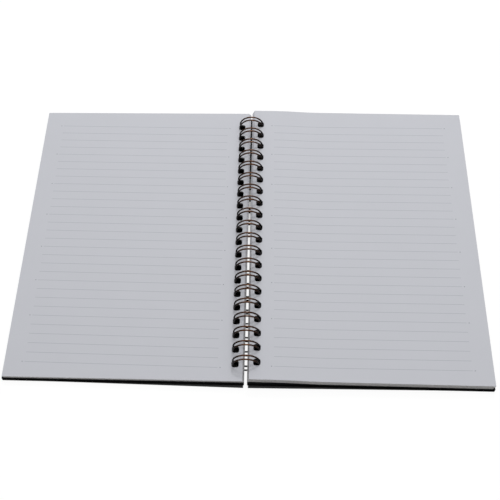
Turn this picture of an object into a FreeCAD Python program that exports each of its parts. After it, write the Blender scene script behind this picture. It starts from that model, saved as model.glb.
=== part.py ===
import FreeCAD, Part
import math
import os
from FreeCAD import Placement, Rotation, Vector
from Sketcher import Constraint

# An open twin-loop notebook, lying flat on a table.
# It has two board covers, two blocks of sheets and one continuous wire that passes
# through a row of holes in all four.
# Frame: +X to the reader's right, +Y to the head of the pages, +Z up, millimetres.
# The origin is on the table, under the middle of the notebook.
# The axis of the loops is the line x = 0, z = loop_height. Covers and blocks turn about it.

# Driving dimensions
SIZES = (
    ("paper_width", 128.0),
    ("paper_height", 182.0),
    ("left_stack", 1.5),
    ("right_stack", 3.4),
    ("sheet_shear", 0.9),
    ("hole_width", 3.6),
    ("hole_height", 4.0),
    ("hole_corner", 0.8),
    ("hole_play", 0.45),
    ("cover_hole_play", 0.6),
    ("paper_margin", 4.25),
    ("board_thickness", 2.8),
    ("cover_overhang", 0.4),
    ("cover_gap", 1.2),
    ("cover_angle", 48.5),
    ("half_yaw", 0.12),
    ("seat_gap", 0.1),
    ("wire_diameter", 0.9),
    ("loop_diameter", 14.9),
    ("loop_pitch", 8.467),
    ("row_margin", 8.0),
    ("row_shift", -0.7),
    ("pair_spacing", 2.3),
    ("root_bend", 0.9),
    ("tip_gap", 0.7),
    ("wire_end", 1.0),
    ("closure_clearance", 0.18),
    ("ramp_start", 12.0),
    ("ramp_length", 33.0),
)

# Sizes that follow from the driving dimensions. All distances are from the loops' axis.
LAYOUT = (
    # Centre line of the wire in a loop, and the height of the loops' axis
    ("wire_radius", "Sizes.wire_diameter / 2"),
    ("loop_radius", "(Sizes.loop_diameter - Sizes.wire_diameter) / 2"),
    ("loop_height", "Sizes.loop_diameter / 2"),
    # As many loops as keep the row's end holes a margin away from the page's corners
    ("loop_count", "floor((Sizes.paper_height - 2 * Sizes.row_margin) / Sizes.loop_pitch) + 1"),
    ("row_length", "(Layout.loop_count - 1) * Sizes.loop_pitch"),
    ("row_start", "Sizes.row_shift - Layout.row_length / 2"),
    # The left half is turned right round, so its own row starts from the other end
    ("turned_row_start", "-Sizes.row_shift - Layout.row_length / 2"),
    # The boards ride up on the loops at the spine, and lie on the table at the outer edge
    ("cover_lift", "Layout.loop_height - Layout.loop_radius * cos(Sizes.cover_angle)"
                   " - Sizes.board_thickness / 2"),
    ("wire_inner", "sqrt((Sizes.loop_diameter / 2 - Sizes.wire_diameter) ^ 2"
                   " - (Layout.loop_height - Layout.cover_lift) ^ 2)"),
    ("wire_outer", "sqrt((Sizes.loop_diameter / 2) ^ 2"
                   " - (Layout.loop_height - Layout.cover_lift - Sizes.board_thickness) ^ 2)"),
    ("cover_hole_reach", "(Layout.wire_inner + Layout.wire_outer) / 2"),
    ("cover_hole_width", "Layout.wire_outer - Layout.wire_inner + 2 * Sizes.cover_hole_play"),
    # The loops bear near the outer side of the holes in the paper
    ("paper_hole_reach", "Sizes.loop_diameter / 2 + Sizes.hole_play - Sizes.hole_width / 2"),
    ("paper_hole_width", "Sizes.hole_width"),
    ("paper_inset", "Layout.paper_hole_reach - Sizes.paper_margin"),
    ("cover_reach", "Layout.paper_inset + Sizes.paper_width + Sizes.cover_overhang"),
    ("cover_height", "Sizes.paper_height + 2 * Sizes.cover_overhang"),
    ("cover_tilt", "asin(Layout.cover_lift / Layout.cover_reach) / 1 deg"),
    # The hidden closure of the wire holds the last sheets off the back board
    ("closure_room", "Sizes.wire_diameter + 2 * Sizes.closure_clearance"),
    ("paper_seat", "Sizes.board_thickness + Sizes.seat_gap"),
    # The two halves lie slightly askew, and this keeps the notebook centred on the origin
    ("skew_shift", "-(Layout.cover_reach + Sizes.cover_gap / 2) * sin(Sizes.half_yaw) / 2"),
)

# The two halves gape a little towards the tail. For each: its turn about Z in degrees, and
# the layout value that says where its row of holes starts.
RIGHT_HALF = ("Sizes.half_yaw", "row_start")
LEFT_HALF = ("180 - Sizes.half_yaw", "turned_row_start")

# Largest share by which a volume may miss the one its sizes give
VOLUME_TOLERANCE = 0.001


def make_sheet(doc):
    """Put the driving dimensions in the spreadsheet, and what follows from them beside it."""
    sheet = doc.addObject("Spreadsheet::Sheet", "Sizes")
    for row, (name, value) in enumerate(SIZES, start=1):
        sheet.set(f"A{row}", name)
        sheet.set(f"B{row}", str(value))
        sheet.setAlias(f"B{row}", name)
    doc.recompute()
    layout = doc.addObject("App::VarSet", "Layout")
    for name, formula in LAYOUT:
        layout.addProperty("App::PropertyFloat", name, "Layout")
        layout.setExpression(name, formula)
    doc.recompute()
    return sheet, layout


def origin_item(body, role):
    """The plane or axis of a body's own origin that has this role."""
    return next(item for item in body.Origin.OriginFeatures if item.Role == role)


def new_sketch(body, name, role):
    """An empty sketch on one of the body's origin planes."""
    sketch = body.newObject("Sketcher::SketchObject", name)
    sketch.AttachmentSupport = [(origin_item(body, role), "")]
    sketch.MapMode = "FlatFace"
    return sketch


def dimension(sketch, kind, items, drawn, formula):
    """Add one dimension to a sketch at the size it was drawn, and bind it to a formula."""
    index = sketch.addConstraint(Constraint(kind, *items, drawn))
    sketch.setExpression(f"Constraints[{index}]", formula)


def bind_point(sketch, edge, end, across=None, up=None):
    """Hold a point of an edge at a distance across, or up, from the sketch's origin."""
    point = sketch.getPoint(edge, end)
    if across is not None:
        dimension(sketch, "DistanceX", (-1, 1, edge, end), point.x, across)
    if up is not None:
        dimension(sketch, "DistanceY", (-1, 1, edge, end), point.y, up)


def closed_outline(sketch, corners):
    """Draw straight edges through the corners, given as pairs of formulas."""
    count = len(corners)
    for index in range(count):
        following = (index + 1) % count
        start, end = Vector(index, index ** 2, 0), Vector(following, following ** 2, 0)
        sketch.addGeometry(Part.LineSegment(start, end))
    for index in range(count):
        sketch.addConstraint(Constraint("Coincident", index, 2, (index + 1) % count, 1))
    for index, (across, up) in enumerate(corners):
        bind_point(sketch, index, 1, across, up)


def ramp_outline(sketch, sheet, layout):
    """Draw the side view of sheets that bend up over the wire's closure.

    Each of the two faces is a level run at the spine, two equal arcs down to the board,
    and a second level run out to the free edge.
    """
    inset, shear = layout.paper_inset, sheet.sheet_shear
    start, length = sheet.ramp_start, sheet.ramp_length
    low = layout.paper_seat
    rise = sheet.board_thickness + layout.closure_room - low
    radius = ((length / 2) ** 2 + (rise / 2) ** 2) / rise
    swing = math.asin(length / 2 / radius)
    end_x = start + length
    normal = Vector(0, 0, 1)
    faces = (
        (0.0, inset - shear, inset - shear + sheet.paper_width),
        (sheet.right_stack, inset, inset + sheet.paper_width),
    )
    for lift, spine_x, free_x in faces:
        high_z, low_z = low + rise + lift, low + lift
        crest = Part.Circle(Vector(start, high_z - radius, 0), normal, radius)
        foot = Part.Circle(Vector(end_x, low_z + radius, 0), normal, radius)
        sketch.addGeometry([
            Part.LineSegment(Vector(spine_x, high_z, 0), Vector(start, high_z, 0)),
            Part.ArcOfCircle(crest, math.pi / 2 - swing, math.pi / 2),
            Part.ArcOfCircle(foot, 1.5 * math.pi - swing, 1.5 * math.pi),
            Part.LineSegment(Vector(end_x, low_z, 0), Vector(free_x, low_z, 0)),
        ])
    spine_edge, free_edge = sketch.addGeometry([
        Part.LineSegment(Vector(faces[0][1], low + rise, 0),
                         Vector(inset, low + rise + sheet.right_stack, 0)),
        Part.LineSegment(Vector(faces[0][2], low, 0),
                         Vector(faces[1][2], low + sheet.right_stack, 0)),
    ])
    heights = (
        ("Sizes.board_thickness + Layout.closure_room", "Layout.paper_seat",
         "Layout.paper_inset - Sizes.sheet_shear"),
        ("Sizes.board_thickness + Layout.closure_room + Sizes.right_stack",
         "Layout.paper_seat + Sizes.right_stack", "Layout.paper_inset"),
    )
    for face, (high, seat, spine) in enumerate(heights):
        level, crest, foot, flat = range(4 * face, 4 * face + 4)
        sketch.addConstraint([
            Constraint("Tangent", level, 2, crest, 2),
            Constraint("Tangent", crest, 1, foot, 1),
            Constraint("Tangent", foot, 2, flat, 1),
            Constraint("Coincident", spine_edge, face + 1, level, 1),
            Constraint("Coincident", free_edge, face + 1, flat, 2),
            Constraint("Horizontal", level),
            Constraint("Horizontal", flat),
            Constraint("Equal", crest, foot),
        ])
        bind_point(sketch, level, 1, spine, high)
        bind_point(sketch, flat, 2, f"{spine} + Sizes.paper_width", seat)
        bind_point(sketch, level, 2, "Sizes.ramp_start")
        bind_point(sketch, flat, 1, "Sizes.ramp_start + Sizes.ramp_length")


def hole_outline(sketch, kind, row_start, sheet, layout):
    """Draw the first hole of a row: a rectangle with round corners. kind is cover or paper."""
    width, reach = f"Layout.{kind}_hole_width", f"Layout.{kind}_hole_reach"
    wide, middle = getattr(layout, f"{kind}_hole_width"), getattr(layout, f"{kind}_hole_reach")
    corner, tall = sheet.hole_corner, sheet.hole_height
    left, right = middle - wide / 2, middle + wide / 2
    start = getattr(layout, row_start)
    tail, head = start - tall / 2, start + tall / 2
    near, far = left + corner, right - corner
    low, high = tail + corner, head - corner
    sides = (
        ((near, tail), (far, tail), (far, low)),
        ((right, low), (right, high), (far, high)),
        ((far, head), (near, head), (near, high)),
        ((left, high), (left, low), (near, low)),
    )
    normal = Vector(0, 0, 1)
    for index, (first, last, centre) in enumerate(sides):
        turn = (index - 1) * math.pi / 2
        circle = Part.Circle(Vector(*centre, 0), normal, corner)
        sketch.addGeometry([
            Part.LineSegment(Vector(*first, 0), Vector(*last, 0)),
            Part.ArcOfCircle(circle, turn, turn + math.pi / 2),
        ])
    bottom, right_side, top, left_side = range(0, 8, 2)
    for line in (bottom, right_side, top, left_side):
        sketch.addConstraint([
            Constraint("Tangent", line, 2, line + 1, 1),
            Constraint("Tangent", line + 1, 2, (line + 2) % 8, 1),
        ])
    sketch.addConstraint([Constraint("Horizontal", line) for line in (bottom, top)])
    sketch.addConstraint([Constraint("Vertical", line) for line in (right_side, left_side)])
    sketch.addConstraint([Constraint("Equal", 1, line + 1) for line in (right_side, top, left_side)])
    dimension(sketch, "Radius", (1,), corner, "Sizes.hole_corner")
    bind_point(sketch, left_side, 1, across=f"{reach} - {width} / 2")
    bind_point(sketch, right_side, 1, across=f"{reach} + {width} / 2")
    bind_point(sketch, bottom, 1, up=f"Layout.{row_start} - Sizes.hole_height / 2")
    bind_point(sketch, top, 1, up=f"Layout.{row_start} + Sizes.hole_height / 2")


def punch_row(body, name, kind, half, sheet, layout):
    """Punch the row of holes that the loops pass through."""
    sketch = new_sketch(body, f"{name}_punch", "XY_Plane")
    hole_outline(sketch, kind, half[1], sheet, layout)
    hole = body.newObject("PartDesign::Pocket", f"{name}_hole")
    hole.Profile = sketch
    hole.Type = "ThroughAll"
    hole.Reversed = True
    row = body.newObject("PartDesign::LinearPattern", f"{name}_row")
    row.Originals = [hole]
    row.Direction = (origin_item(body, "Y_Axis"), [""])
    row.setExpression("Length", "Layout.row_length")
    row.setExpression("Occurrences", "Layout.loop_count")
    body.Tip = row


def place_half(body, half):
    """Tilt a half down to the table at its outer edge and turn it to its own side."""
    base = "create(<<vector>>; 0; Layout.skew_shift; Layout.cover_lift)"
    rotation = f"create(<<rotation>>; {half[0]}; Layout.cover_tilt; 0)"
    body.setExpression("Placement", f"create(<<placement>>; {base}; {rotation})")


def make_cover(doc, name, half, sheet, layout):
    """A board cover. Its own X runs from the spine to the free edge."""
    body = doc.addObject("PartDesign::Body", name)
    sketch = new_sketch(body, f"{name}_outline", "XY_Plane")
    near, far = "Sizes.cover_gap / 2", "Layout.cover_reach"
    tail, head = "-Layout.cover_height / 2", "Layout.cover_height / 2"
    closed_outline(sketch, ((near, tail), (far, tail), (far, head), (near, head)))
    board = body.newObject("PartDesign::Pad", f"{name}_board")
    board.Profile = sketch
    board.setExpression("Length", "Sizes.board_thickness")
    punch_row(body, name, "cover", half, sheet, layout)
    place_half(body, half)
    return body


def pad_across(body, profile, name, half, sheet, layout):
    """Extend a side view of the sheets over the height of the page, both ways from the middle."""
    block = body.newObject("PartDesign::Pad", f"{name}_block")
    block.Profile = profile
    block.SideType = "Symmetric"
    block.setExpression("Length", "Sizes.paper_height")
    punch_row(body, name, "paper", half, sheet, layout)


def make_left_pages(doc, name, half, sheet, layout):
    """The sheets already turned over. They lie flat on the front cover."""
    body = doc.addObject("PartDesign::Body", name)
    profile = new_sketch(body, f"{name}_profile", "XZ_Plane")
    low_x = "Layout.paper_inset - Sizes.sheet_shear"
    top_x = "Layout.paper_inset"
    low_z = "Layout.paper_seat"
    top_z = "Layout.paper_seat + Sizes.left_stack"
    closed_outline(profile, (
        (low_x, low_z),
        (f"{low_x} + Sizes.paper_width", low_z),
        (f"{top_x} + Sizes.paper_width", top_z),
        (top_x, top_z),
    ))
    pad_across(body, profile, name, half, sheet, layout)
    place_half(body, half)
    return body


def make_right_pages(doc, name, half, sheet, layout):
    """The sheets still to come. Near the spine they bend up over the wire's closure."""
    body = doc.addObject("PartDesign::Body", name)
    profile = new_sketch(body, f"{name}_profile", "XZ_Plane")
    ramp_outline(profile, sheet, layout)
    pad_across(body, profile, name, half, sheet, layout)
    place_half(body, half)
    return body


def wire_path(sheet, layout):
    """The centre line of the wire, from one cut end to the other.

    The wire runs along the spine, bends into a loop, goes round under both covers and over
    the pages, turns back at the loop's tip and returns to the spine beside itself.
    """
    radius, height = layout.loop_radius, layout.loop_height
    bend, half_pair = sheet.root_bend, sheet.pair_spacing / 2
    board_top = (layout.cover_lift + sheet.board_thickness
                 - radius * math.tan(math.radians(layout.cover_tilt)))
    closure_height = board_top + sheet.closure_clearance + layout.wire_radius
    closure_angle = math.asin((closure_height - height) / math.hypot(radius, bend))
    root_angle = closure_angle - math.atan2(bend, radius)
    tip_angle = closure_angle + (sheet.tip_gap + half_pair) / radius - 2 * math.pi
    far_angle = (root_angle + tip_angle) / 2

    def on_loop(angle, along):
        return Vector(radius * math.cos(angle), along, height + radius * math.sin(angle))

    def heading(angle):
        return Vector(math.sin(angle), 0, -math.cos(angle))

    edges = []
    loop_count = round(layout.loop_count)
    for index in range(loop_count):
        middle = layout.row_start + index * sheet.loop_pitch
        for side in (-1, 1):
            strand = middle + side * half_pair
            root, tip = on_loop(root_angle, strand), on_loop(tip_angle, strand)
            corner = on_loop(root_angle, strand + side * bend)
            spine_end = corner - heading(root_angle) * bend
            shoulder = corner - (heading(root_angle) + Vector(0, side, 0)) * (bend / math.sqrt(2))
            outward = Vector(0, side, 0)
            run = sheet.loop_pitch / 2 - half_pair - bend
            if (side < 0 and index == 0) or (side > 0 and index == loop_count - 1):
                run = sheet.wire_end
            spine_start = spine_end + outward * run
            strand_edges = [
                Part.LineSegment(spine_start, spine_end).toShape(),
                Part.Arc(spine_end, shoulder, root).toShape(),
                Part.Arc(root, on_loop(far_angle, strand), tip).toShape(),
            ]
            edges += strand_edges
        crown = on_loop(tip_angle, middle) + heading(tip_angle) * half_pair
        near_tip = on_loop(tip_angle, middle - half_pair)
        far_tip = on_loop(tip_angle, middle + half_pair)
        edges.append(Part.Arc(near_tip, crown, far_tip).toShape())
    return Part.Wire(Part.sortEdges(edges)[0])


def make_wire(doc, name, sheet, layout):
    """The binding: one round wire swept along its centre line."""
    path = doc.addObject("Part::Feature", f"{name}_path")
    path.Shape = wire_path(sheet, layout)
    section = doc.addObject("Part::Circle", f"{name}_section")
    section.setExpression("Radius", "Layout.wire_radius")
    start = path.Shape.OrderedVertexes[0].Point
    section.Placement = Placement(start, Rotation(Vector(0, 0, 1), Vector(0, 1, 0)))
    wire = doc.addObject("Part::Sweep", name)
    wire.Sections = [section]
    wire.Spine = (path, [])
    wire.Solid = True
    wire.Frenet = False
    wire.setExpression("Placement.Base.y", "Layout.skew_shift")
    return wire


def punched_volume(sheet, layout, name):
    """How much a row of holes must take out of a cover or a block of sheets."""
    width, depth = {
        "front_cover": (layout.cover_hole_width, sheet.board_thickness),
        "back_cover": (layout.cover_hole_width, sheet.board_thickness),
        "left_pages": (layout.paper_hole_width, sheet.left_stack),
        "right_pages": (layout.paper_hole_width, sheet.right_stack),
    }[name]
    area = width * sheet.hole_height - (4 - math.pi) * sheet.hole_corner ** 2
    return layout.loop_count * area * depth


def check_model(doc, pieces, sheet, layout):
    """Stop if anything in the document failed, or a piece is not what its sizes say."""
    failed = [item.Name for item in doc.Objects if {"Invalid", "Error"} & set(item.State)]
    if failed:
        raise RuntimeError(f"failed objects: {failed}")
    for piece in pieces:
        shape = piece.Shape
        if shape.isNull() or not shape.isValid() or len(shape.Solids) != 1:
            raise RuntimeError(f"{piece.Label} is not one valid solid")
        if piece.TypeId == "PartDesign::Body":
            block = next(item for item in piece.Group if item.TypeId == "PartDesign::Pad")
            taken = block.Shape.Volume - shape.Volume
            wanted = punched_volume(sheet, layout, piece.Label)
        else:
            taken = shape.Volume
            wanted = math.pi * layout.wire_radius ** 2 * piece.Spine[0].Shape.Length
        if abs(taken / wanted - 1) > VOLUME_TOLERANCE:
            raise RuntimeError(f"{piece.Label}: volume {taken:.2f}, wanted {wanted:.2f}")
        print(f"{piece.Label}: {shape.Volume:.1f} mm3, {len(shape.Faces)} faces")


def main():
    doc = FreeCAD.newDocument("open_notebook")
    sheet, layout = make_sheet(doc)
    pieces = [
        make_cover(doc, "back_cover", RIGHT_HALF, sheet, layout),
        make_right_pages(doc, "right_pages", RIGHT_HALF, sheet, layout),
        make_cover(doc, "front_cover", LEFT_HALF, sheet, layout),
        make_left_pages(doc, "left_pages", LEFT_HALF, sheet, layout),
        make_wire(doc, "wire_binding", sheet, layout),
    ]
    doc.recompute()
    check_model(doc, pieces, sheet, layout)
    os.makedirs("parts", exist_ok=True)
    for piece in pieces:
        piece.Shape.exportStep(f"parts/{piece.Label}.step")


main()
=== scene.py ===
import math
import random

import bmesh
import bpy
from mathutils import Matrix, Vector
from mathutils.geometry import delaunay_2d_cdt


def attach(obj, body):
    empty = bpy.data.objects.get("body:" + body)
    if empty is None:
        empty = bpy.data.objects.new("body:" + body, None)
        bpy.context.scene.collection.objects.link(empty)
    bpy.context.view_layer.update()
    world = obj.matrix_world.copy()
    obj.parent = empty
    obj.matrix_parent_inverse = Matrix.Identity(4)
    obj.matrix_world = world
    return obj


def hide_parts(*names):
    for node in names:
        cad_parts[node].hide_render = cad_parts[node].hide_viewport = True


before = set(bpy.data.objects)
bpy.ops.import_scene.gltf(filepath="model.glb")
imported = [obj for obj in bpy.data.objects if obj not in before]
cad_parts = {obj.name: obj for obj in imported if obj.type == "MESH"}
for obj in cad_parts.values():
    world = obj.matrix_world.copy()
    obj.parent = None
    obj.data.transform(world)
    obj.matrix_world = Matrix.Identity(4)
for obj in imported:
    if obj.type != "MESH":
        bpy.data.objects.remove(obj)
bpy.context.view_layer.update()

# An open wire-bound notebook on a pale floor. Lengths are in metres.
# The loops' axis is the line x = 0, z = LOOP_HEIGHT. Each half has its own frame, in which X
# runs outward from that axis, Y along it (on the left to the tail), and Z up from the cover's
# underside.

MM = 0.001

# Paper
PAPER_WIDTH = 128 * MM
PAPER_HEIGHT = 182 * MM
SHEET_PITCH = 0.1 * MM
SHEET_THICKNESS = 0.09 * MM
LEFT_SHEETS = 15
RIGHT_SHEETS = 34
PAPER_INSET = 1.85 * MM
SHEET_SHEAR = 0.9 * MM
STAGGER = 0.05 * MM

# Where the spine edges of the lowest and the uppermost sheet run, at the head and at the tail
LOWEST_SPINE = (0.64 * MM, 0.59 * MM)
UPPERMOST_SPINE = (1.89 * MM, 1.45 * MM)

# The bend of the right-hand sheets over the closure of the wire
CLOSURE_ROOM = 1.26 * MM
RAMP_START = 12 * MM
RAMP_LENGTH = 33 * MM
RAMP_STEPS = 11

# Wire
WIRE_RADIUS = 0.45 * MM
LOOP_RADIUS = 7.0 * MM
LOOP_HEIGHT = LOOP_RADIUS + WIRE_RADIUS
LOOP_PITCH = 8.467 * MM
LOOP_COUNT = 20
ROW_SHIFT = -0.7 * MM
PAIR_SPACING = 2.3 * MM
ROOT_BEND = 0.9 * MM
TIP_GAP = 0.7 * MM
WIRE_END = 1.0 * MM
CLOSURE_CLEARANCE = 0.18 * MM
WIRE_SIDES = 14
LOOP_STEPS = 56
BEND_STEPS = 5

# Boards. They ride up on the loops at the spine.
BOARD_THICKNESS = 2.8 * MM
BOARD_NEAR = 0.6 * MM
BOARD_REACH = 130.25 * MM
BOARD_HEIGHT = 182.8 * MM
BOARD_EDGE = 0.25 * MM
COVER_ANGLE = math.radians(48.5)
BOARD_LIFT = LOOP_HEIGHT - LOOP_RADIUS * math.cos(COVER_ANGLE) - BOARD_THICKNESS / 2
PAPER_SEAT = BOARD_THICKNESS + 0.1 * MM
HALF_YAW = math.radians(0.12)
SKEW_SHIFT = -(BOARD_REACH + BOARD_NEAR) * math.sin(HALF_YAW) / 2

# Holes: distance of the middle from the axis, width, height
PAPER_HOLE = (5.7 * MM, 3.9 * MM, 4.0 * MM)
BOARD_HOLE = (4.624 * MM, 5.372 * MM, 4.0 * MM)
HOLE_CORNER = 1.3 * MM
CORNER_STEPS = 5

# Ruling, in millimetres from the spine edge and the tail of the page
LINE_SPACING = 5.601
LINE_WIDTH = 0.27
LINE_COUNT = 30
LINE_START = 13.8
LINE_END = 117.9
DOT_OFFSET = 1.3
DOT_RADIUS = 0.3
DOT_EVERY = 4
LAST_LINE_UP = 8.3

# How far the print is off on each page, in millimetres: across, up, askew over the page's
# height, and askew over its width
LEFT_PRINT = (0.8, 0.84, -0.2, -1.5)
RIGHT_PRINT = (1.3, 0.7, 0.6, -0.93)

# Camera
PHOTO_WIDTH = 500
FOCAL_PIXELS = 881.7
SENSOR_WIDTH = 36.0
CAMERA_PLACE = Vector((5.64, -274.0, 437.17)) * MM
CAMERA_PITCH = 0.54988
CAMERA_YAW = 0.08348
CAMERA_ROLL = -0.05408
CAMERA_SHIFT = 0.06

# Light. The floor shines white to the camera, and bounces light like pale card.
SKY_TOP = 0.70
SKY_RIM = 0.09
FLOOR_GLOW = 0.93
FLOOR_SHADE = 0.09
FLOOR_BOUNCE = 0.5
FLOOR_HALF_SIZE = 2.5
KEY_LAMP = ("key_lamp", (0.12, 0.5, 0.8), 0.12, 1.8)
SOFT_LAMP = ("soft_lamp", (0.0, 0.45, 0.9), 1.2, 5.0)

# Painted shade on the floor: the settings below darken its white glow where it is closed in
# Where the floor counts as closed in: how far things darken it, from what openness on it is
# dark and white, and how the strip along the tail tapers and darkens
CLOSED_REACH = 20 * MM
CLOSED_STEP = (0.36, 0.5)
STRIP_TAPER = 0.0125
STRIP_SHADE = 0.4

# Colours. A pair is the darker and the lighter end of a texture.
PAPER_COLOUR = (0.545, 0.553, 0.592)
FIBRE_COLOUR = (0.68, 0.70, 0.74)
LINE_COLOUR = (0.40, 0.415, 0.455)
DOT_COLOUR = (0.27, 0.285, 0.32)
EDGE_COLOURS = ((0.76, 0.75, 0.74), (0.92, 0.90, 0.89))
# The strips of the lower sheets at the spine are painted grey as the shade of the gutter, and
# greyer towards the tail
GUTTER_SHADE_COLOURS = ((0.26, 0.26, 0.27), (0.34, 0.34, 0.35))
GUTTER_SHADE_FADE = (-50 * MM, 30 * MM)
# The hole walls are painted dark as the shade inside the holes
HOLE_SHADE_COLOURS = ((0.07, 0.065, 0.06), (0.14, 0.13, 0.125))
COVERING_COLOURS = ((0.006, 0.006, 0.007), (0.010, 0.010, 0.011))
# The board edges are painted darker than the faces, as shade
BOARD_EDGE_SHADE_COLOURS = ((0.001,) * 3, (0.003,) * 3)
# The wire is painted near black low on the loops as shade, fading to its bronze between the two
# heights
WIRE_SHADE_COLOUR = (0.010, 0.006, 0.005)
WIRE_BRONZE = ((0.09, 0.045, 0.026), (0.15, 0.078, 0.048))
WIRE_SHADE_HEIGHTS = (10.5 * MM, 15 * MM)

# The materials of a stack, in order. A board has the first two.
FACE, EDGE, STRIP, PUNCH = range(4)

random.seed(7)


def half_frame(turn):
    """Where a half lies: tilted down to the floor at its free edge, turned to its own side."""
    tilt = math.asin(BOARD_LIFT / BOARD_REACH)
    return (Matrix.Translation((0, SKEW_SHIFT, BOARD_LIFT))
            @ Matrix.Rotation(turn, 4, "Z") @ Matrix.Rotation(tilt, 4, "Y"))


# Each half's place, and the direction of the head of the pages along its own Y
RIGHT_HALF = (half_frame(HALF_YAW), 1)
LEFT_HALF = (half_frame(math.pi - HALF_YAW), -1)


def ramp_drop(x):
    """How far a right-hand sheet has come down from the closure at a distance from the axis."""
    rise = BOARD_THICKNESS + CLOSURE_ROOM - PAPER_SEAT
    radius = ((RAMP_LENGTH / 2) ** 2 + (rise / 2) ** 2) / rise
    run = min(max(x - RAMP_START, 0.0), RAMP_LENGTH)
    if run < RAMP_LENGTH / 2:
        return radius - math.sqrt(radius ** 2 - run ** 2)
    return rise - radius + math.sqrt(radius ** 2 - (RAMP_LENGTH - run) ** 2)


def hole_rows(head=1):
    """The places of the holes along the spine, for a half whose head lies towards its own Y."""
    start = head * ROW_SHIFT - (LOOP_COUNT - 1) / 2 * LOOP_PITCH
    return [start + index * LOOP_PITCH for index in range(LOOP_COUNT)]


def hole_centres(hole, head):
    """The middles of a half's holes. They lie in line with the loops, not askew like the half."""
    return [(hole[0] + head * y * math.tan(HALF_YAW), y) for y in hole_rows(head)]


def hole_rim(hole, centre):
    """Points round one hole, a rectangle with round corners."""
    _, width, height = hole
    rim = []
    for quarter, (across, along) in enumerate(((1, 1), (-1, 1), (-1, -1), (1, -1))):
        centre_x = centre[0] + across * (width / 2 - HOLE_CORNER)
        centre_y = centre[1] + along * (height / 2 - HOLE_CORNER)
        for step in range(CORNER_STEPS + 1):
            angle = math.pi / 2 * (quarter + step / CORNER_STEPS)
            rim.append((centre_x + HOLE_CORNER * math.cos(angle),
                        centre_y + HOLE_CORNER * math.sin(angle)))
    return rim


def in_hole(x, y, hole, centre):
    """Whether a point lies inside a hole."""
    _, width, height = hole
    across = max(abs(x - centre[0]) - width / 2 + HOLE_CORNER, 0.0)
    along = max(abs(y - centre[1]) - height / 2 + HOLE_CORNER, 0.0)
    return math.hypot(across, along) < HOLE_CORNER


def punched_outline(corners, hole, head, columns=()):
    """A flat four-sided outline with a row of holes, cut into triangles.

    The corners go round from the tail at the spine. columns are places of extra lines across
    the plate, along which it can bend. Gives the points, the triangles, and the loops of
    points round the edge and the holes.
    """
    points, edges, rims = [], [], []

    def add_rim(rim):
        first = len(points)
        points.extend(rim)
        ids = list(range(first, first + len(rim)))
        edges.extend(zip(ids, ids[1:] + ids[:1]))
        rims.append(ids)

    near_tail, far_tail, far_head, near_head = corners
    count = len(columns)
    add_rim([near_tail] + [(x, near_tail[1]) for x in columns] + [far_tail, far_head]
            + [(x, near_head[1]) for x in reversed(columns)] + [near_head])
    outer_rim = rims[0]
    for index in range(count):
        edges.append((outer_rim[1 + index], outer_rim[2 * count + 2 - index]))
    centres = hole_centres(hole, head)
    for centre in centres:
        add_rim(hole_rim(hole, centre))
    result = delaunay_2d_cdt([Vector(p) for p in points], edges, [], 0, 1e-7)
    flat, faces, origins = result[0], result[2], result[3]
    place = {}
    for new, olds in enumerate(origins):
        for old in olds:
            place[old] = new
    rims = [[place[i] for i in rim] for rim in rims]
    kept = []
    for face in faces:
        x = sum(flat[i].x for i in face) / len(face)
        y = sum(flat[i].y for i in face) / len(face)
        if not any(in_hole(x, y, hole, centre) for centre in centres):
            kept.append(list(face))
    return [(p.x, p.y) for p in flat], kept, rims


def add_plate(bm, outline, place, top, bottom, print_place=None, top_material=FACE,
              hole_material=EDGE):
    """Add one flat piece with thickness to a mesh.

    top and bottom give the heights of the two faces at a distance from the axis. print_place
    gives the place of a point on the printed page, in millimetres.
    """
    flat, faces, rims = outline
    page = bm.loops.layers.uv.active
    upper, lower = [
        [bm.verts.new(place @ Vector((x, y, height(x)))) for x, y in flat]
        for height in (top, bottom)
    ]

    def mark(face, ids):
        if print_place:
            for loop, i in zip(face.loops, ids):
                loop[page].uv = print_place(*flat[i])

    for ids in faces:
        for side, order, material in ((upper, ids, top_material), (lower, ids[::-1], FACE)):
            face = bm.faces.new([side[i] for i in order])
            face.material_index = material
            mark(face, order)
    for index, rim in enumerate(rims):
        closed = rim + rim[:1]
        for a, b in zip(closed, closed[1:]):
            face = bm.faces.new((upper[a], lower[a], lower[b], upper[b]))
            face.material_index = hole_material if index else EDGE
            mark(face, (a, a, b, b))


def new_piece(name, bm, materials):
    """Turn a mesh into a piece with its materials."""
    bmesh.ops.recalc_face_normals(bm, faces=bm.faces)
    mesh = bpy.data.meshes.new(name)
    bm.to_mesh(mesh)
    bm.free()
    for material in materials:
        mesh.materials.append(material)
    piece = bpy.data.objects.new(name, mesh)
    bpy.context.scene.collection.objects.link(piece)
    return piece


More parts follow.
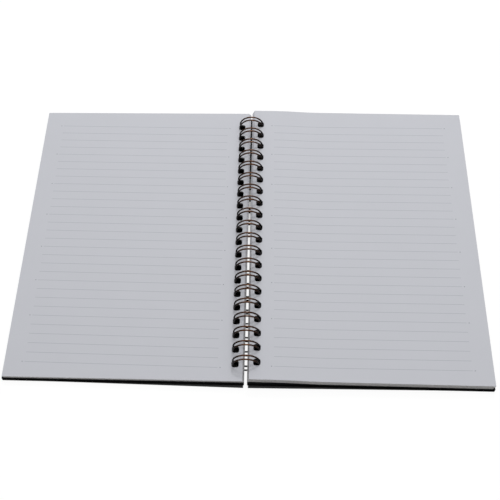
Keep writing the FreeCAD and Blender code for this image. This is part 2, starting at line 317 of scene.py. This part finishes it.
def stack_of_sheets(name, half, count, bent, print_shift, materials):
    """Loose sheets on each other, each a little nearer the spine than the one above it.

    bent is for the stack that lies over the closure of the wire.
    """
    place, head = half
    shift_across, shift_up, skew, slope = print_shift
    bm = bmesh.new()
    bm.loops.layers.uv.new("page")
    columns = [RAMP_START + RAMP_LENGTH * step / RAMP_STEPS for step in range(RAMP_STEPS + 1)]
    drop = ramp_drop if bent else (lambda x: 0.0)
    base = BOARD_THICKNESS + CLOSURE_ROOM if bent else PAPER_SEAT

    def print_place(x, y):
        up = head * y / MM
        across = (x - PAPER_INSET) / MM + shift_across + skew * up * MM / PAPER_HEIGHT
        return across, up + PAPER_HEIGHT / 2 / MM + shift_up + slope * x / PAPER_WIDTH

    for index in range(count):
        level = base + (index + 1) * SHEET_PITCH
        share = index / (count - 1)
        loose = 0.0 if index == count - 1 else STAGGER
        slip = random.uniform(-loose, 0.0)
        low = random.uniform(-loose, loose) - PAPER_HEIGHT / 2
        spine = [a + (b - a) * share + slip for a, b in zip(LOWEST_SPINE, UPPERMOST_SPINE)]
        far = PAPER_INSET - SHEET_SHEAR * (1 - share) + PAPER_WIDTH + slip
        near_tail, near_head = spine[::-head]
        corners = ((near_tail, low), (far, low),
                   (far, low + PAPER_HEIGHT), (near_head, low + PAPER_HEIGHT))
        outline = punched_outline(corners, PAPER_HOLE, head, columns if bent else ())
        # The tops of the lower sheets, which show only as strips at the spine, take the painted
        # gutter shade
        add_plate(bm, outline, place,
                  lambda x: level - drop(x),
                  lambda x: level - drop(x) - SHEET_THICKNESS,
                  print_place, FACE if index == count - 1 else STRIP, PUNCH)
    return new_piece(name, bm, materials)


def board(name, half, materials):
    """A cover board with softly rounded edges."""
    place, head = half
    bm = bmesh.new()
    tail, top = -BOARD_HEIGHT / 2, BOARD_HEIGHT / 2
    corners = ((BOARD_NEAR, tail), (BOARD_REACH, tail), (BOARD_REACH, top), (BOARD_NEAR, top))
    outline = punched_outline(corners, BOARD_HOLE, head)
    add_plate(bm, outline, place, lambda x: BOARD_THICKNESS, lambda x: 0.0)
    piece = new_piece(name, bm, materials)
    bevel = piece.modifiers.new("rounding", "BEVEL")
    bevel.width = BOARD_EDGE
    bevel.segments = 3
    bevel.limit_method = "ANGLE"
    bevel.angle_limit = math.radians(60)
    bevel.harden_normals = True
    return piece


def wire_line():
    """Points along the wire, from one cut end to the other."""
    tilt = math.asin(BOARD_LIFT / BOARD_REACH)
    board_top = BOARD_LIFT + BOARD_THICKNESS - LOOP_RADIUS * math.tan(tilt)
    closure_height = board_top + CLOSURE_CLEARANCE + WIRE_RADIUS
    half_pair = PAIR_SPACING / 2
    closure_angle = math.asin((closure_height - LOOP_HEIGHT)
                              / math.hypot(LOOP_RADIUS, ROOT_BEND))
    root_angle = closure_angle - math.atan2(ROOT_BEND, LOOP_RADIUS)
    tip_angle = closure_angle + (TIP_GAP + half_pair) / LOOP_RADIUS - 2 * math.pi

    def on_loop(angle, along):
        return Vector((LOOP_RADIUS * math.cos(angle), along + SKEW_SHIFT,
                       LOOP_HEIGHT + LOOP_RADIUS * math.sin(angle)))

    def heading(angle):
        return Vector((math.sin(angle), 0, -math.cos(angle)))

    line = []
    for index, middle in enumerate(hole_rows()):
        strands = []
        for side in (-1, 1):
            strand = middle + side * half_pair
            centre = on_loop(root_angle, strand) + Vector((0, side * ROOT_BEND, 0))
            centre_turns = []
            for step in range(BEND_STEPS + 1):
                turn = math.pi / 2 * step / BEND_STEPS
                centre_turns.append(
                    centre - heading(root_angle) * ROOT_BEND * math.cos(turn)
                    - Vector((0, side * ROOT_BEND * math.sin(turn), 0)))
            arc = [on_loop(root_angle + (tip_angle - root_angle) * step / LOOP_STEPS, strand)
                   for step in range(1, LOOP_STEPS + 1)]
            end = ((side < 0 and index == 0) or (side > 0 and index == LOOP_COUNT - 1))
            lead = [centre_turns[0] + Vector((0, side * WIRE_END, 0))] if end else []
            strands.append(lead + centre_turns + arc)
        crown_centre = on_loop(tip_angle, middle)
        crown = []
        for step in range(1, 2 * BEND_STEPS):
            turn = math.pi * step / (2 * BEND_STEPS)
            crown.append(crown_centre + heading(tip_angle) * half_pair * math.sin(turn)
                         - Vector((0, half_pair * math.cos(turn), 0)))
        line += strands[0] + crown + strands[1][::-1]
    return line


def sweep(bm, line, radius, sides):
    """Sweep a round section along a line of points and close both ends."""
    rings = []
    across = None
    for index, point in enumerate(line):
        before = line[max(index - 1, 0)]
        after = line[min(index + 1, len(line) - 1)]
        along = (after - before).normalized()
        if across is None:
            across = along.orthogonal()
        across = (across - along * across.dot(along)).normalized()
        third = along.cross(across)
        ring = []
        for step in range(sides):
            angle = 2 * math.pi * step / sides
            offset = across * math.cos(angle) + third * math.sin(angle)
            ring.append(bm.verts.new(point + offset * radius))
        rings.append(ring)
    for ring, following in zip(rings, rings[1:]):
        for step in range(sides):
            after = (step + 1) % sides
            face = bm.faces.new((ring[step], ring[after], following[after], following[step]))
            face.smooth = True
    bm.faces.new(rings[0][::-1])
    bm.faces.new(rings[-1])


class Nodes:
    """A node tree, with short ways to add nodes and join them."""

    def __init__(self, tree):
        self.tree = tree

    def add(self, kind, **settings):
        """Add a node of a kind, with its settings."""
        node = self.tree.nodes.new(kind)
        for key, value in settings.items():
            setattr(node, key, value)
        return node

    def join(self, source, target):
        self.tree.links.new(source, target)

    def place(self, kind="Object"):
        return self.add("ShaderNodeTexCoord").outputs[kind]

    def split(self, vector):
        """The three parts of a vector."""
        node = self.add("ShaderNodeSeparateXYZ")
        self.join(vector, node.inputs[0])
        return node.outputs

    def math(self, operation, *inputs):
        node = self.add("ShaderNodeMath", operation=operation)
        for socket, value in zip(node.inputs, inputs):
            if isinstance(value, (int, float)):
                socket.default_value = value
            else:
                self.join(value, socket)
        return node.outputs[0]

    def product(self, *values):
        result = values[0]
        for value in values[1:]:
            result = self.math("MULTIPLY", result, value)
        return result

    def step(self, value, low, high):
        """0 at low and 1 at high, with a smooth change between them."""
        node = self.add("ShaderNodeMapRange", interpolation_type="SMOOTHSTEP")
        self.join(value, node.inputs["Value"])
        node.inputs["From Min"].default_value = low
        node.inputs["From Max"].default_value = high
        return node.outputs["Result"]

    def noise(self, vector, scale, detail=2.0, roughness=0.5):
        node = self.add("ShaderNodeTexNoise")
        node.inputs["Scale"].default_value = scale
        node.inputs["Detail"].default_value = detail
        node.inputs["Roughness"].default_value = roughness
        self.join(vector, node.inputs["Vector"])
        return node.outputs["Fac"]

    def ramp(self, value, colours, low=0.3, high=0.7):
        """The first colour at low and the second at high."""
        node = self.add("ShaderNodeValToRGB")
        for element, position, colour in zip(node.color_ramp.elements, (low, high), colours):
            element.position = position
            element.color = (*colour, 1)
        self.join(value, node.inputs["Fac"])
        return node.outputs["Color"]

    def mix(self, factor, first, second):
        """The first colour where the factor is 0, and the second where it is 1."""
        node = self.add("ShaderNodeMix", data_type="RGBA")
        sockets = (node.inputs[0], node.inputs[6], node.inputs[7])
        for socket, value in zip(sockets, (factor, first, second)):
            if isinstance(value, (int, float)):
                socket.default_value = value
            elif isinstance(value, tuple):
                socket.default_value = (*value, 1)
            else:
                self.join(value, socket)
        return node.outputs[2]


class Surface(Nodes):
    """A new material and its node tree."""

    def __init__(self, name):
        self.material = bpy.data.materials.new(name)
        self.material.use_nodes = True
        super().__init__(self.material.node_tree)
        self.shader = self.tree.nodes["Principled BSDF"]
        self.output = self.tree.nodes["Material Output"]

    def colour(self, source):
        self.join(source, self.shader.inputs["Base Color"])

    def gloss(self, specular, roughness=None):
        """Set how much the surface mirrors and, unless a texture gives it, its roughness."""
        self.shader.inputs["Specular IOR Level"].default_value = specular
        if roughness is not None:
            self.shader.inputs["Roughness"].default_value = roughness

    def bump(self, height, strength, distance):
        node = self.add("ShaderNodeBump")
        node.inputs["Strength"].default_value = strength
        node.inputs["Distance"].default_value = distance
        self.join(height, node.inputs["Height"])
        self.join(node.outputs["Normal"], self.shader.inputs["Normal"])


def ruling(m, page):
    """Where the ruled lines and the dots are, for a place on the page in millimetres."""
    across, up, _ = m.split(page)
    rows_up = m.math("DIVIDE", m.math("SUBTRACT", up, LAST_LINE_UP), LINE_SPACING)
    row = m.math("ROUND", rows_up)
    away = m.math("ABSOLUTE", m.math("MULTIPLY", m.math("SUBTRACT", rows_up, row), LINE_SPACING))
    real_row = m.product(m.math("GREATER_THAN", row, -0.5),
                         m.math("LESS_THAN", row, LINE_COUNT - 0.5))
    in_line = m.product(m.math("GREATER_THAN", across, LINE_START),
                        m.math("LESS_THAN", across, LINE_END))
    thin = m.math("LESS_THAN", away, LINE_WIDTH / 2)
    line = m.product(thin, in_line, real_row)

    # Dots stand at every fourth line from the head, and at the last line
    from_head = m.math("SUBTRACT", LINE_COUNT - 1, row)
    fourth = m.product(m.math("LESS_THAN", m.math("MODULO", from_head, DOT_EVERY), 0.5),
                       m.math("GREATER_THAN", row, 1.5))
    last = m.math("LESS_THAN", m.math("ABSOLUTE", row), 0.5)
    middle = (LINE_START + LINE_END) / 2
    reach = (LINE_END - LINE_START) / 2 + DOT_OFFSET
    sideways = m.math("SUBTRACT", m.math("ABSOLUTE", m.math("SUBTRACT", across, middle)), reach)
    distance = m.math("SQRT", m.math("ADD", m.math("POWER", sideways, 2.0),
                                     m.math("POWER", away, 2.0)))
    dot = m.product(m.math("LESS_THAN", distance, DOT_RADIUS),
                    m.math("MAXIMUM", fourth, last), real_row)
    return line, dot


def paper_face():
    """Smooth cool-white writing paper with faint ruled lines and dots at some line ends."""
    m = Surface("paper")
    line, dot = ruling(m, m.add("ShaderNodeUVMap", uv_map="page").outputs["UV"])
    spots = m.place()
    cloud = m.noise(spots, 60.0, 3.0)
    fibre = m.noise(spots, 2500.0, 4.0, 0.6)
    darker, lighter = [tuple(c * share for c in PAPER_COLOUR) for share in (0.985, 1.015)]
    ground = m.mix(cloud, darker, lighter)
    ground = m.mix(m.math("MULTIPLY", fibre, 0.05), ground, FIBRE_COLOUR)
    m.colour(m.mix(dot, m.mix(line, ground, LINE_COLOUR), DOT_COLOUR))
    m.gloss(0.25, 0.72)
    m.bump(fibre, 0.25, 0.00003)
    return m.material


def paper_edge():
    """The cut edges of the sheets: a little warmer than their faces."""
    m = Surface("paper_edge")
    grain = m.noise(m.place(), 900.0, 3.0, 0.6)
    m.colour(m.ramp(grain, EDGE_COLOURS))
    m.gloss(0.15, 0.9)
    m.bump(grain, 0.3, 0.00002)
    return m.material


def paper_strip_shade():
    """The narrow strips of the lower sheets that show at the spine, painted grey as the shade of
    the gutter, and greyer to the tail.
    """
    m = Surface("paper_strip_shade")
    spots = m.place()
    grey = m.ramp(m.noise(spots, 900.0, 3.0, 0.6), GUTTER_SHADE_COLOURS)
    m.colour(m.mix(m.step(m.split(spots)[1], *GUTTER_SHADE_FADE), grey, PAPER_COLOUR))
    m.gloss(0.15, 0.9)
    return m.material


def paper_hole_shade():
    """The walls of the punched holes, painted dark as the shade inside the holes."""
    m = Surface("paper_hole_shade")
    m.colour(m.ramp(m.noise(m.place(), 900.0, 3.0, 0.6), HOLE_SHADE_COLOURS))
    m.gloss(0.15, 0.9)
    return m.material


def board_covering():
    """Matte black covering paper with a fine pressed grain."""
    m = Surface("board_covering")
    spots = m.place()
    grain = m.add("ShaderNodeTexVoronoi")
    grain.inputs["Scale"].default_value = 1400.0
    m.join(spots, grain.inputs["Vector"])
    cloud = m.noise(spots, 45.0, 4.0)
    m.colour(m.ramp(cloud, COVERING_COLOURS))
    m.gloss(0.25)
    m.join(m.ramp(cloud, ((0.55,) * 3, (0.7,) * 3), 0.2, 0.8), m.shader.inputs["Roughness"])
    m.bump(grain.outputs["Distance"], 0.35, 0.00006)
    return m.material


def board_edge():
    """The edge of a board, with the covering paper drawn tight round it, painted darker than the
    faces as shade.
    """
    m = Surface("board_edge")
    grain = m.noise(m.place(), 1100.0, 3.0, 0.6)
    m.colour(m.ramp(grain, BOARD_EDGE_SHADE_COLOURS, 0.3, 0.75))
    m.gloss(0.03, 0.85)
    m.bump(grain, 0.3, 0.00004)
    return m.material


def wire_coating():
    """Coated steel wire in bronze, painted near black as shade low down on the loops, fading to
    the bronze towards their tops.
    """
    m = Surface("wire_coating")
    spots = m.place()
    cloud = m.noise(spots, 260.0, 3.0)
    speck = m.noise(spots, 3000.0, 2.0)
    bronze = m.ramp(cloud, WIRE_BRONZE, 0.35, 0.65)
    # Painted shade: near black low on the loops, bronze above
    m.colour(m.mix(m.step(m.split(spots)[2], *WIRE_SHADE_HEIGHTS), WIRE_SHADE_COLOUR, bronze))
    m.shader.inputs["Metallic"].default_value = 1.0
    m.join(m.ramp(speck, ((0.24,) * 3, (0.32,) * 3)), m.shader.inputs["Roughness"])
    m.bump(speck, 0.15, 0.00001)
    return m.material


def open_floor(m):
    """Where the floor shows white: 0 where it is closed in, 1 in the open.

    This paints shade and light into the floor's white glow. Under the raised boards and below the
    holes no light reaches it, and it is painted dark. Below the gap between the two halves a
    painted bright strip brightens from the head to the tail, as the gap widens.
    """
    hollow = m.add("ShaderNodeAmbientOcclusion", samples=16)
    hollow.inputs["Distance"].default_value = CLOSED_REACH
    x, y, _ = m.split(m.place())
    from_axis = m.math("ABSOLUTE", x)

    # A painted shadow in a narrow strip along the tail, wider towards the spine, where the boards
    # are raised
    tail = SKEW_SHIFT - BOARD_HEIGHT / 2
    along = m.math("SUBTRACT", y, m.math("MULTIPLY", from_axis, STRIP_TAPER))
    strip = m.product(m.step(along, tail - 1.1 * MM, tail - 0.8 * MM),
                      m.step(y, tail + 2.5 * MM, tail + 1.5 * MM),
                      m.step(from_axis, BOARD_REACH, 0.9 * BOARD_REACH))
    openness = m.math("SUBTRACT", hollow.outputs["AO"], m.math("MULTIPLY", strip, STRIP_SHADE))
    # Painted light: the floor below the gap between the halves glows white
    below_gap = m.product(m.step(from_axis, 1.5 * MM, 1.0 * MM),
                          m.step(y, 55 * MM, -10 * MM))
    return m.math("MAXIMUM", m.step(openness, *CLOSED_STEP), below_gap)


def floor_material():
    """A floor that shines white to the camera and keeps a faint shadow."""
    m = Surface("floor_white")
    seen = m.add("ShaderNodeLightPath").outputs["Is Camera Ray"]
    m.colour(m.mix(seen, (FLOOR_BOUNCE,) * 3, (FLOOR_SHADE,) * 3))
    m.gloss(0.0, 1.0)
    glow = m.add("ShaderNodeEmission")
    m.join(m.product(seen, open_floor(m), FLOOR_GLOW), glow.inputs["Strength"])
    both = m.add("ShaderNodeAddShader")
    m.join(m.shader.outputs[0], both.inputs[0])
    m.join(glow.outputs[0], both.inputs[1])
    m.join(both.outputs[0], m.output.inputs["Surface"])
    return m.material


def make_floor():
    bm = bmesh.new()
    bmesh.ops.create_grid(bm, x_segments=1, y_segments=1, size=FLOOR_HALF_SIZE)
    floor = new_piece("floor", bm, [floor_material()])


def make_world():
    """Soft light from all round, brightest overhead. The camera sees plain white."""
    world = bpy.data.worlds.new("studio")
    bpy.context.scene.world = world
    world.use_nodes = True
    m = Nodes(world.node_tree)
    height = m.math("MAXIMUM", m.split(m.place("Generated"))[2], 0.0)
    sky = m.math("ADD", m.math("MULTIPLY", height, SKY_TOP - SKY_RIM), SKY_RIM)
    seen = m.add("ShaderNodeLightPath").outputs["Is Camera Ray"]
    strength = m.math("MAXIMUM", seen, sky)
    back = world.node_tree.nodes["Background"]
    m.join(strength, back.inputs["Strength"])
    back.inputs["Color"].default_value = (1, 1, 1, 1)


def add_lamp(name, place, size, power):
    """A square soft box that looks at the notebook."""
    light = bpy.data.lights.new(name, "AREA")
    light.size = size
    light.energy = power
    lamp = bpy.data.objects.new(name, light)
    lamp.location = place
    lamp.rotation_euler = (-Vector(place)).to_track_quat("-Z", "Y").to_euler()
    bpy.context.scene.collection.objects.link(lamp)


def make_camera():
    data = bpy.data.cameras.new("camera")
    data.sensor_width = SENSOR_WIDTH
    data.lens = FOCAL_PIXELS / PHOTO_WIDTH * SENSOR_WIDTH
    data.shift_x = CAMERA_SHIFT
    data.clip_start = 0.01
    camera = bpy.data.objects.new("camera", data)
    turn = (Matrix.Rotation(CAMERA_YAW, 4, "Z") @ Matrix.Rotation(CAMERA_PITCH, 4, "X")
            @ Matrix.Rotation(CAMERA_ROLL, 4, "Z"))
    camera.matrix_world = Matrix.Translation(CAMERA_PLACE) @ turn
    bpy.context.scene.collection.objects.link(camera)
    bpy.context.scene.camera = camera


def finish_piece(piece, body, node):
    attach(piece, body)
    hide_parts(node)


sheet_materials = [paper_face(), paper_edge(), paper_strip_shade(), paper_hole_shade()]
board_materials = [board_covering(), board_edge()]
right_sheets = stack_of_sheets("right_sheets", RIGHT_HALF, RIGHT_SHEETS, True, RIGHT_PRINT,
                               sheet_materials)
finish_piece(right_sheets, "right_leaves", "right_pages")
left_sheets = stack_of_sheets("left_sheets", LEFT_HALF, LEFT_SHEETS, False, LEFT_PRINT,
                              sheet_materials)
finish_piece(left_sheets, "left_leaves", "left_pages")
finish_piece(board("back_board", RIGHT_HALF, board_materials), "back", "back_cover")
finish_piece(board("front_board", LEFT_HALF, board_materials), "front", "front_cover")
wire_mesh = bmesh.new()
sweep(wire_mesh, wire_line(), WIRE_RADIUS, WIRE_SIDES)
finish_piece(new_piece("twin_loop_wire", wire_mesh, [wire_coating()]),
             "back", "wire_binding")

make_floor()
make_world()
add_lamp(*KEY_LAMP)
add_lamp(*SOFT_LAMP)
make_camera()
bpy.context.scene.view_settings.view_transform = "Standard"
